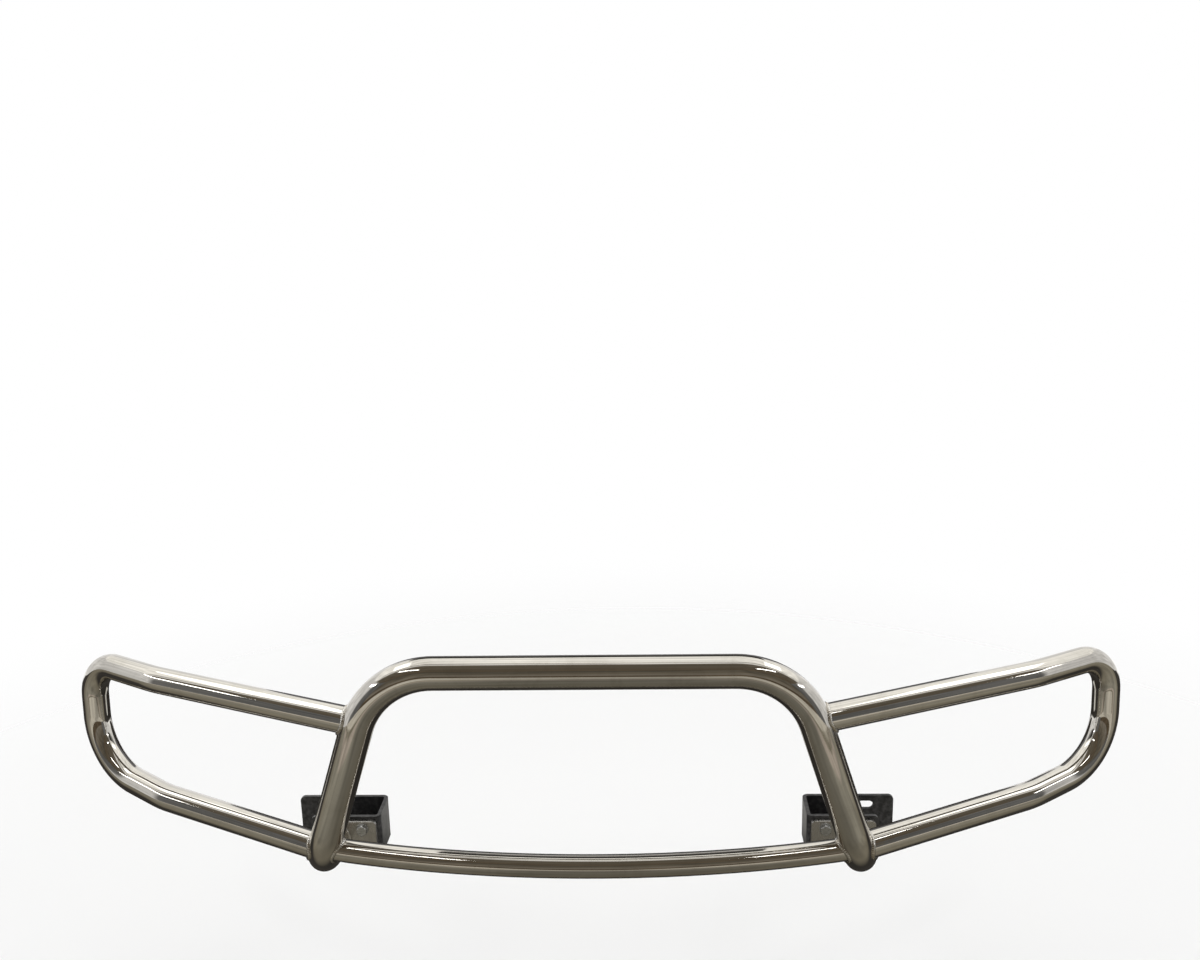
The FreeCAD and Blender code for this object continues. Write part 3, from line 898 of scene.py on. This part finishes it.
# ---------------------------------------------------------------- welds
@dataclass(frozen=True)
class Bead:
    """The section of a weld bead and the overlapping ripples along it."""

    radius: float = 0.0034
    pitch: float = 0.0026
    sides: int = 10
    steps_per_ripple: int = 5
    swell: float = 0.11
    crescent: float = 0.30
    unevenness: float = 0.05

    def swelling(self, ripples: float, lean: float, seed: float) -> float:
        """How much the section swells at a place along the bead.

        Args:
            ripples: Distance along the bead, counted in ripples.
            lean: Angle round the section.
            seed: Number of the bead, so that no two are alike.

        Returns:
            A factor on the section's radius.
        """
        phase = (ripples + self.crescent * math.cos(lean)) % 1.0
        crown = 1.0 - (2.0 * phase - 1.0) ** 2
        wander = noise.noise(Vector((ripples * 0.31, seed, 0.0)))
        return 1.0 + self.swell * (crown - 0.5) + self.unevenness * wander


@dataclass
class WeldRing:
    """A rippled bead all round the end of a tube, lying in the corner with what it meets."""

    name: str
    node: str
    spot: Vector
    heading: Vector
    tube_radius: float
    seat: Callable[[Vector, Vector], float]
    seed: float
    bead: Bead = Bead()
    joint_share: float = 1.1

    def round_the_tube(self) -> tuple[BMesh, int]:
        """An even ring of the bead's section round the tube's axis.

        Returns:
            The closed ring about Z, and its number of ripples.
        """
        ripples = round(math.tau * self.tube_radius * self.joint_share / self.bead.pitch)
        mesh = bmesh.new()
        bmesh.ops.create_circle(mesh, segments=self.bead.sides, radius=self.bead.radius)
        upright = Matrix.Rotation(math.radians(90.0), 4, "X")
        out = Matrix.Translation((self.tube_radius, 0.0, 0.0))
        bmesh.ops.transform(mesh, matrix=out @ upright, verts=mesh.verts)
        bmesh.ops.spin(mesh, geom=mesh.edges[:], cent=(0.0, 0.0, 0.0), axis=(0.0, 0.0, 1.0),
                       angle=math.tau, steps=ripples * self.bead.steps_per_ripple, use_merge=True)
        bmesh.ops.remove_doubles(mesh, verts=mesh.verts, dist=MERGE_DISTANCE)
        bmesh.ops.recalc_face_normals(mesh, faces=mesh.faces)
        return mesh, ripples

    def build(self) -> Object:
        """Model the bead and dress it."""
        mesh, ripples = self.round_the_tube()
        place = facing(self.spot, self.heading)
        steps = ripples * self.bead.steps_per_ripple
        slides: dict[int, float] = {}
        for vert in mesh.verts:
            angle = math.atan2(vert.co.y, vert.co.x)
            step = round(angle / math.tau * steps) % steps
            outward = Vector((math.cos(angle), math.sin(angle), 0.0))
            skin = outward * self.tube_radius
            if step not in slides:
                slides[step] = self.seat(place @ skin, self.heading)
            section = vert.co - skin
            lean = math.atan2(section.z, section.dot(outward))
            grown = self.bead.swelling(step / self.bead.steps_per_ripple, lean, self.seed)
            vert.co = skin + section * grown + Vector((0.0, 0.0, slides[step]))
        bmesh.ops.transform(mesh, matrix=place, verts=mesh.verts)
        return finish_piece(mesh, self.name, Slot.WELD, self.node)


@dataclass
class WeldStrip:
    """A straight rippled bead with rounded ends."""

    start: Vector
    end: Vector
    seed: float
    bead: Bead = Bead(radius=0.0026, pitch=0.0024, sides=8, steps_per_ripple=4)
    noses_in_length: float = 12.0
    bluntness: float = 0.06

    def roll(self, mesh: BMesh) -> None:
        """Add the bead to a mesh.

        Args:
            mesh: The mesh that takes it.
        """
        along = self.end - self.start
        ripples = along.length / self.bead.pitch
        steps = round(ripples * self.bead.steps_per_ripple)
        made = bmesh.ops.create_circle(mesh, cap_ends=True, segments=self.bead.sides,
                                       radius=self.bead.radius)
        bmesh.ops.transform(mesh, matrix=facing(self.start, along.normalized()),
                            verts=made["verts"])
        ring = made["verts"]
        rim = list({edge for vert in ring for edge in vert.link_edges})
        rings = [ring]
        for _ in range(steps):
            ring, rim = draw_out(mesh, rim)
            bmesh.ops.translate(mesh, verts=ring, vec=along / steps)
            rings.append(ring)
        bmesh.ops.contextual_create(mesh, geom=rim)
        for index, ring in enumerate(rings):
            share = index / steps
            centre = self.start + along * share
            nearness = max(0.0, 1.0 - min(share, 1.0 - share) * self.noses_in_length)
            nose = math.sqrt(max(self.bluntness, 1.0 - nearness ** 2))
            for vert in ring:
                arm = vert.co - centre
                lean = math.atan2(arm.z, arm.x)
                grown = self.bead.swelling(share * ripples, lean, self.seed)
                vert.co = centre + arm * grown * nose


# ---------------------------------------------------------------- plate work and fasteners
FLAT_ANGLE = math.radians(0.5)
EASED_ANGLE = math.radians(30.0)
EASING_STEPS = 2


def eased_copy(node: str, width: float) -> BMesh:
    """Copy a CAD node's mesh, with its flats made whole again and its edges eased.

    Args:
        node: The CAD node.
        width: Width of the easing.

    Returns:
        The eased mesh.
    """
    mesh = bmesh.new()
    mesh.from_mesh(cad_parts[node].data)
    bmesh.ops.remove_doubles(mesh, verts=mesh.verts, dist=MERGE_DISTANCE)
    bmesh.ops.dissolve_limit(mesh, angle_limit=FLAT_ANGLE, verts=mesh.verts, edges=mesh.edges)
    crisp = [edge for edge in mesh.edges
             if edge.is_manifold and edge.calc_face_angle() > EASED_ANGLE]
    bmesh.ops.bevel(mesh, geom=crisp, offset=width, offset_type="OFFSET",
                    segments=EASING_STEPS, profile=0.5, affect="EDGES", clamp_overlap=True,
                    material=-1)
    return mesh


def flatten_shading(piece: Object) -> None:
    """Let a piece's broad flats set the shading, and its easings turn between them."""
    even = piece.modifiers.new("even_flats", "WEIGHTED_NORMAL")
    even.keep_sharp = True
    even.weight = 100


@dataclass
class BoltSet:
    """The two bolts that hold one tail's flange plate to its bracket."""

    side: Side
    facets: int = 48
    flats: float = 0.016
    head: float = 0.0064
    shank: float = 0.005
    root: float = 0.0043
    length: float = 0.035
    plain: float = 0.009
    pitch: float = 0.0015
    flank: float = 0.40
    crest: float = 0.10
    runout: float = 1.5
    chamfer: float = 30.0
    crown_share: float = 0.475
    bearing_share: float = 0.47
    bearing_rise: float = 0.0004
    point_share: float = 0.93

    def on_hexagon(self, angle: float) -> float:
        """Distance from the middle to the head's side at an angle."""
        half_side = math.pi / 6
        turn = (angle + half_side) % (2 * half_side) - half_side
        return self.flats / 2 / math.cos(turn)

    def grow(self, mesh: BMesh, rim: list,
             reach: Callable[[float], tuple[float, float]]) -> list:
        """Draw the open rim out to a new ring.

        Args:
            mesh: The bolt so far.
            rim: Edges of its open end.
            reach: Radius and height of the new ring at an angle.

        Returns:
            Edges of the new open end.
        """
        ring, rim = draw_out(mesh, rim)
        for vert in ring:
            angle = math.atan2(vert.co.y, vert.co.x)
            radius, height = reach(angle)
            vert.co = Vector((math.cos(angle) * radius, math.sin(angle) * radius, height))
        return rim

    def turn_one(self) -> BMesh:
        """One bolt about Z: its head below zero, its shank and thread above.

        Returns:
            The closed mesh.
        """
        mesh = bmesh.new()
        crown = self.flats * self.crown_share
        bearing = self.flats * self.bearing_share
        slope = math.tan(math.radians(self.chamfer))
        bmesh.ops.create_circle(mesh, cap_ends=True, segments=self.facets, radius=crown)
        bmesh.ops.translate(mesh, verts=mesh.verts, vec=(0.0, 0.0, -self.head))
        rim = list(mesh.edges)
        rim = self.grow(mesh, rim, lambda a: (
            self.on_hexagon(a), -self.head + (self.on_hexagon(a) - crown) * slope))
        rim = self.grow(mesh, rim, lambda a: (self.on_hexagon(a), -self.bearing_rise))
        height = self.plain
        rings = [(bearing, -self.bearing_rise), (bearing, 0.0), (self.shank, 0.0),
                 (self.shank, height)]
        while height < self.length - self.pitch * self.runout:
            for radius, share in ((self.root, self.flank), (self.root, self.crest),
                                  (self.shank, self.flank), (self.shank, self.crest)):
                height += self.pitch * share
                rings.append((radius, height))
        rings.append((self.root * self.point_share, self.length))
        for ring in rings:
            rim = self.grow(mesh, rim, lambda a, made=ring: made)
        bmesh.ops.contextual_create(mesh, geom=rim)
        bmesh.ops.recalc_face_normals(mesh, faces=mesh.faces)
        return mesh

    def build(self, seat: float) -> Object:
        """Model both bolts where their CAD node stands, and dress them.

        Args:
            seat: Y of the face that the heads bear on.

        Returns:
            The piece.
        """
        node = self.side.named("flange_bolts")
        low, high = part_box(node)
        middle = (low + high) / 2
        rise = (high.z - low.z) / 2 - self.flats / 2
        mesh = bmesh.new()
        for level in (-1.0, 1.0):
            one = self.turn_one()
            place = (Matrix.Translation((middle.x, seat, middle.z + level * rise))
                     @ Matrix.Rotation(math.radians(-90.0), 4, "X"))
            bmesh.ops.transform(one, matrix=place, verts=one.verts)
            loose = bpy.data.meshes.new("loose_bolt")
            one.to_mesh(loose)
            one.free()
            mesh.from_mesh(loose)
            bpy.data.meshes.remove(loose)
        piece = finish_piece(mesh, self.side.named("flange_bolt_pair"), Slot.ZINC, node)
        flatten_shading(piece)
        return piece


@dataclass
class Mounting:
    """One side's flange plate, bracket, gusset and fasteners."""

    side: Side
    hoop: CentreHoop
    plate_ease: float = 0.0008
    bracket_ease: float = 0.0007
    small_ease: float = 0.00025
    gusset_bead_set_in: float = 0.0006
    seed: float = 20.0

    def eased(self, part: str, slot: Slot, width: float) -> None:
        """Show a CAD node as an eased copy of itself.

        Args:
            part: The node's name without its side.
            slot: The slot for its finish.
            width: Width of the easing.
        """
        node = self.side.named(part)
        flatten_shading(finish_piece(eased_copy(node, width), node + "_eased", slot, node))

    def tail_weld(self) -> WeldRing:
        """The bead between the tail and its flange plate."""
        spot = self.side.place(self.hoop.route.runs[0].start)
        return WeldRing(self.side.named("tail_bead"), self.side.named("flange_weld"), spot,
                        Vector((0.0, -1.0, 0.0)), self.hoop.radius, lambda point, heading: 0.0,
                        self.seed + self.side.value)

    def gusset_beads(self) -> None:
        """The painted beads above and below the gusset."""
        node = self.side.named("gusset_weld")
        low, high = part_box(node)
        plate_low, plate_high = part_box(self.side.named("gusset"))
        web = low.x if self.side is Side.RIGHT else high.x
        corner = web + self.side.value * self.gusset_bead_set_in
        mesh = bmesh.new()
        for number, level in enumerate((plate_low.z - self.gusset_bead_set_in,
                                        plate_high.z + self.gusset_bead_set_in)):
            WeldStrip(Vector((corner, low.y, level)), Vector((corner, high.y, level)),
                      number + self.side.value).roll(mesh)
        bmesh.ops.recalc_face_normals(mesh, faces=mesh.faces)
        finish_piece(mesh, node + "_beads", Slot.BRACKET, node)

    def build(self) -> None:
        """Model the whole mounting and dress it."""
        self.eased("flange_plate", Slot.PLATE, self.plate_ease)
        self.eased("frame_bracket", Slot.BRACKET, self.bracket_ease)
        self.eased("gusset", Slot.BRACKET, self.bracket_ease)
        for part in ("head_washers", "nut_washers", "spring_washers", "nuts"):
            self.eased(part, Slot.ZINC, self.small_ease)
        washer_low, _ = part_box(self.side.named("head_washers"))
        BoltSet(self.side).build(washer_low.y)
        self.gusset_beads()
        self.tail_weld().build()


# ---------------------------------------------------------------- studio
class Axis(Enum):
    """The axes of the part's frame, with their places in a vector."""

    X = 0
    Y = 1
    Z = 2


# What a card's bands lie along and what it fades along, for each axis it is hung across.
ALONG = {Axis.X: (Axis.Z, Axis.Y), Axis.Y: (Axis.Z, Axis.X), Axis.Z: (Axis.Y, Axis.X)}
SQUARE_TO = {Axis.X: ((0.0, 0.0, 1.0), (1.0, 0.0, 0.0), (0.0, 1.0, 0.0)),
             Axis.Y: ((1.0, 0.0, 0.0), (0.0, 0.0, -1.0), (0.0, 1.0, 0.0)),
             Axis.Z: ((1.0, 0.0, 0.0), (0.0, 1.0, 0.0), (0.0, 0.0, 1.0))}


def stage_piece(name: str, mesh: BMesh, finish: Material) -> Object:
    """Put a piece of the studio on the stage. Its mesh is freed."""
    piece = link_mesh(mesh, name, finish)
    return piece


@dataclass(frozen=True)
class Card:
    """A flat card that glows though it is no lamp, shaded in bands along one of its sides: a
    painted reflection, seen only in polished metal.
    """

    name: str
    centre: tuple
    size: tuple
    across: Axis
    bands: tuple
    fade: tuple = ((0.0, 1.0), (1.0, 1.0))
    cloud_scale: float = 1.7
    cloud_dark: float = 0.7
    cloud_light: float = 1.3

    def sheet(self) -> BMesh:
        """The card's mesh, square to the axis it is hung across."""
        mesh = bmesh.new()
        bmesh.ops.create_grid(mesh, x_segments=1, y_segments=1, size=0.5)
        bmesh.ops.scale(mesh, verts=mesh.verts, vec=(*self.size, 1.0))
        turned = Matrix(SQUARE_TO[self.across]).to_4x4()
        bmesh.ops.transform(mesh, matrix=Matrix.Translation(self.centre) @ turned,
                            verts=mesh.verts)
        return mesh

    def ramp(self, bench: Bench, place: NodeSocket, stops: tuple) -> NodeSocket:
        """Shades at places in metres along one side.

        Args:
            bench: The card's node tree.
            place: The coordinate along the side.
            stops: Pairs of a place and a colour, or a place and a grey level.

        Returns:
            The shade at each place.
        """
        low, high = stops[0][0], stops[-1][0]
        node = bench.put("ValToRGB", {0: bench.spread(place, low, high)})
        elements = node.color_ramp.elements
        while len(elements) < len(stops):
            elements.new(0.5)
        for element, (spot, tone) in zip(elements, stops):
            element.position = (spot - low) / (high - low)
            element.color = shade(*tone) if isinstance(tone, tuple) else shade(tone, tone, tone)
        return node.outputs["Color"]

    def paint(self) -> Material:
        """The card's glowing material: its bands of painted reflected light and shade, faded along
        the other side, a little uneven.
        """
        bench = Sheet(self.name)
        where = bench.in_place()
        places = bench.put("SeparateXYZ", {0: where}).outputs
        bands, fade = (self.ramp(bench, places[axis.value], stops)
                       for axis, stops in zip(ALONG[self.across], (self.bands, self.fade)))
        both = bench.put("VectorMath", {0: bands, 1: fade}, operation="MULTIPLY").outputs[0]
        cloud = bench.spread(bench.speckle(where, self.cloud_scale), 0.25, 0.75,
                             self.cloud_dark, self.cloud_light)
        uneven = bench.put("VectorMath", {0: both, "Scale": cloud}, operation="SCALE").outputs[0]
        return bench.show(bench.put("Emission", {"Color": uneven, "Strength": 1.0}))

    def hang(self) -> None:
        """Hang the card where only polished metal sees it."""
        piece = stage_piece(self.name, self.sheet(), self.paint())
        for ray in ("camera", "diffuse", "shadow", "transmission", "volume_scatter"):
            setattr(piece, f"visible_{ray}", False)


# Tones of the glowing cards, seen only in polished metal: painted reflections of light and shade.
# LIT, WHITE and BRIGHT are painted lamp light and highlights; BROWN, DIM and SHADE are painted
# shade.
WARM = (0.285, 0.270, 0.226)
TAN = (0.220, 0.200, 0.155)
BROWN = (0.120, 0.092, 0.062)
DIM = (0.045, 0.042, 0.038)
SHADE = (0.42, 0.42, 0.42)
PALE = (0.560, 0.530, 0.460)
STREAK = (0.430, 0.380, 0.330)
LIT = (0.97, 0.96, 0.94)
WHITE = (1.0, 1.0, 1.0)
BRIGHT = (1.25, 1.24, 1.20)
# Fade across the floor card: its painted reflection is darker under the guard's middle, a painted
# shade.
EVEN_SIDES = ((-4.5, 1.15), (-0.9, 1.15), (-0.15, 0.72), (0.15, 0.72), (0.9, 1.15), (4.5, 1.15))
ALL_WHITE = ((-0.6, WHITE), (3.0, WHITE))
WALL = (9.0, 3.6)
# Fade along the side cards: painted shade towards the front, painted white light towards the rear.
OPEN_REAR = ((-4.4, 0.13), (-2.1, 0.18), (-1.6, 0.80), (4.4, 1.0))

# Glowing cards hung where only polished metal sees them. They paint the reflections in the tubes:
# light from the white and bright bands, shade from the dark ones.
CARDS = (
    # Floor card: a painted reflection of a floor, with a painted STREAK of light across it in
    # front and painted shade (DIM) under the guard.
    Card("floor_card", (0.0, 0.0, -0.325), (9.0, 9.0), Axis.Z,
         ((-4.5, PALE), (-1.80, PALE), (-1.70, TAN), (-1.58, TAN), (-1.52, STREAK),
          (-1.33, STREAK), (-1.27, WARM), (-0.9, WARM), (-0.25, TAN), (-0.1, DIM),
          (1.3, DIM), (1.5, WHITE), (4.5, WHITE)),
         EVEN_SIDES),
    Card("kicker_card", (0.0, 0.62, -0.32), (1.1, 0.3), Axis.Z,
         ((0.4, PALE), (0.8, WHITE))),
    # Ceiling card: painted lamp light and highlights (LIT, BRIGHT) over the guard, with painted
    # shade towards the front.
    Card("ceiling_card", (0.0, 0.0, 2.9), (9.0, 9.0), Axis.Z,
         ((-4.5, BROWN), (-1.5, (0.14, 0.122, 0.095)), (-0.88, (0.19, 0.165, 0.13)), (-0.80, LIT),
          (-0.45, LIT), (-0.40, TAN), (-0.30, TAN), (-0.25, BRIGHT), (4.5, BRIGHT))),
    # Front card: painted shade, a dark reflection of the walls in front of the guard.
    Card("front_card", (0.0, -4.4, 1.2), WALL, Axis.Y,
         ((-0.6, BROWN), (0.35, BROWN), (0.4, (0.24, 0.215, 0.18)), (1.5, (0.15, 0.13, 0.10)),
          (3.0, (0.11, 0.10, 0.08)))),
    Card("rear_card", (0.0, 4.4, 1.2), WALL, Axis.Y, ALL_WHITE),
    # Dark card behind the guard: a painted dark reflection, as of a vehicle's front, with nothing
    # there to cast it.
    Card("vehicle_card", (0.0, 1.6, 0.4), (1.9, 1.5), Axis.Y,
         ((-0.35, DIM), (0.35, DIM), (0.45, (0.16, 0.16, 0.17)), (1.15, (0.28, 0.28, 0.29)))),
    # Dark card just above and behind the top bar: painted shade in the reflections on the tops of
    # the top bar and the cross bar.
    Card("hood_card", (0.0, 0.14, 0.455), (0.66, 0.42), Axis.Z,
         ((-0.07, DIM), (0.06, DIM), (0.35, SHADE))),
    *(Card(side.named("card"), (4.4 * side.value, 0.0, 1.2), WALL, Axis.X, ALL_WHITE,
           OPEN_REAR) for side in Side),
)


@dataclass(frozen=True)
class Lamp:
    """A soft box: where it hangs, the point it faces, its sides and its power in watts."""

    name: str
    spot: tuple
    aim: tuple
    size: tuple
    power: float
    mirrored: bool = True

    def hang(self) -> None:
        """Hang the lamp. Metal mirrors it if it is to be mirrored."""
        lamp = bpy.data.lights.new(self.name, "AREA")
        lamp.shape = "RECTANGLE"
        lamp.size, lamp.size_y = self.size
        lamp.energy = self.power
        holder = bpy.data.objects.new(self.name, lamp)
        bpy.context.scene.collection.objects.link(holder)
        aside = Vector(self.aim) - Vector(self.spot)
        turned = aside.to_track_quat("-Z", "Y").to_matrix().to_4x4()
        holder.matrix_world = Matrix.Translation(self.spot) @ turned
        holder.visible_glossy = self.mirrored


GUARD_MIDDLE = (0.0, -0.1, 0.2)


def side_lamps(side: Side) -> list[Lamp]:
    """One side's two bars and its ceiling panel."""
    turn = side.value
    return [Lamp(side.named("bar"), (1.5 * turn, -1.5, 2.4), GUARD_MIDDLE, (1.1, 0.10), 3.0),
            Lamp(side.named("far_bar"), (2.6 * turn, -0.75, 1.55), GUARD_MIDDLE, (0.9, 0.10), 2.2),
            Lamp(side.named("panel"), (1.95 * turn, 0.5, 2.75), (1.95 * turn, 0.5, 0.0),
                 (0.9, 1.5), 5.5)]


LAMPS = (Lamp("top_box", (0.0, 0.75, 2.8), (0.0, 0.6, 0.0), (4.4, 2.6), 40.0, mirrored=False),
         *side_lamps(Side.LEFT), *side_lamps(Side.RIGHT))


@dataclass
class Studio:
    """Pale floor, soft plain light, and the camera."""

    floor_level: float = -0.33
    floor_radius: float = 7.0
    floor_facets: int = 96
    floor_paint: tuple = shade(0.92, 0.92, 0.915)
    fade_from: float = 0.8
    fade_to: float = 2.5
    seen_strength: float = 1.0
    soft_strength: float = 0.65
    camera_spot: tuple = (0.1055, -1.8228, 1.0318)
    camera_pitch: float = 13.99
    camera_yaw: float = 2.58
    camera_roll: float = -1.42
    lens: float = 36.045
    film_width: float = 36.0
    farthest: float = 100.0

    def lay_floor(self) -> None:
        """Lay a round pale floor that fades out into the white surround."""
        bench = Sheet("pale_floor")
        reach = bench.put("VectorMath", {0: bench.in_place()}, operation="LENGTH")
        fade = bench.spread(reach.outputs["Value"], self.fade_from, self.fade_to)
        fade.node.interpolation_type = "SMOOTHSTEP"
        paint = bench.put("BsdfDiffuse", {"Color": self.floor_paint})
        finish = bench.show(bench.mixed(fade, paint, bench.put("BsdfTransparent")))
        mesh = bmesh.new()
        bmesh.ops.create_circle(mesh, cap_ends=True, segments=self.floor_facets,
                                radius=self.floor_radius)
        bmesh.ops.translate(mesh, verts=mesh.verts, vec=(0.0, 0.0, self.floor_level))
        stage_piece("studio_floor", mesh, finish)

    def light_world(self) -> None:
        """White surround, seen by the camera and in metal, with a plain level of light."""
        world = bpy.data.worlds.new("white_surround")
        bpy.context.scene.world = world
        world.use_nodes = True
        bench = Bench(world.node_tree)
        rays = bench.put("LightPath").outputs
        seen = bench.sums("MAXIMUM", rays["Is Camera Ray"], rays["Is Glossy Ray"])
        seen = bench.sums("MAXIMUM", seen, rays["Is Transmission Ray"])
        soft, white = (bench.put("Background", {"Color": shade(*WHITE), "Strength": strength})
                       for strength in (self.soft_strength, self.seen_strength))
        bench.put("OutputWorld", {"Surface": bench.mixed(seen, soft, white).outputs[0]})

    def set_camera(self) -> None:
        """Stand the camera at its height and turn it to the guard."""
        lens = bpy.data.cameras.new("front_camera")
        lens.lens = self.lens
        lens.sensor_width = self.film_width
        lens.clip_end = self.farthest
        holder = bpy.data.objects.new("front_camera", lens)
        bpy.context.scene.collection.objects.link(holder)
        turned = (Matrix.Rotation(math.radians(self.camera_yaw), 4, "Z")
                  @ Matrix.Rotation(math.radians(90.0 - self.camera_pitch), 4, "X")
                  @ Matrix.Rotation(math.radians(self.camera_roll), 4, "Z"))
        holder.matrix_world = Matrix.Translation(self.camera_spot) @ turned
        bpy.context.scene.camera = holder

    def build(self) -> None:
        """Set up the whole studio."""
        self.lay_floor()
        self.light_world()
        for hung in CARDS + LAMPS:
            hung.hang()
        self.set_camera()
        bpy.context.scene.view_settings.view_transform = "Standard"


def main() -> None:
    """Build the guard's looks and the studio."""
    logging.basicConfig(level=logging.INFO, format="%(name)s: %(message)s")
    hoop = CentreHoop()
    hoop.build()
    for side in Side:
        WingLoop(side, hoop).branch().build()
    CrossBar(hoop).branch().build()
    for side in Side:
        Mounting(side, hoop).build()
    Studio().build()


if __name__ == "__main__":
    main()
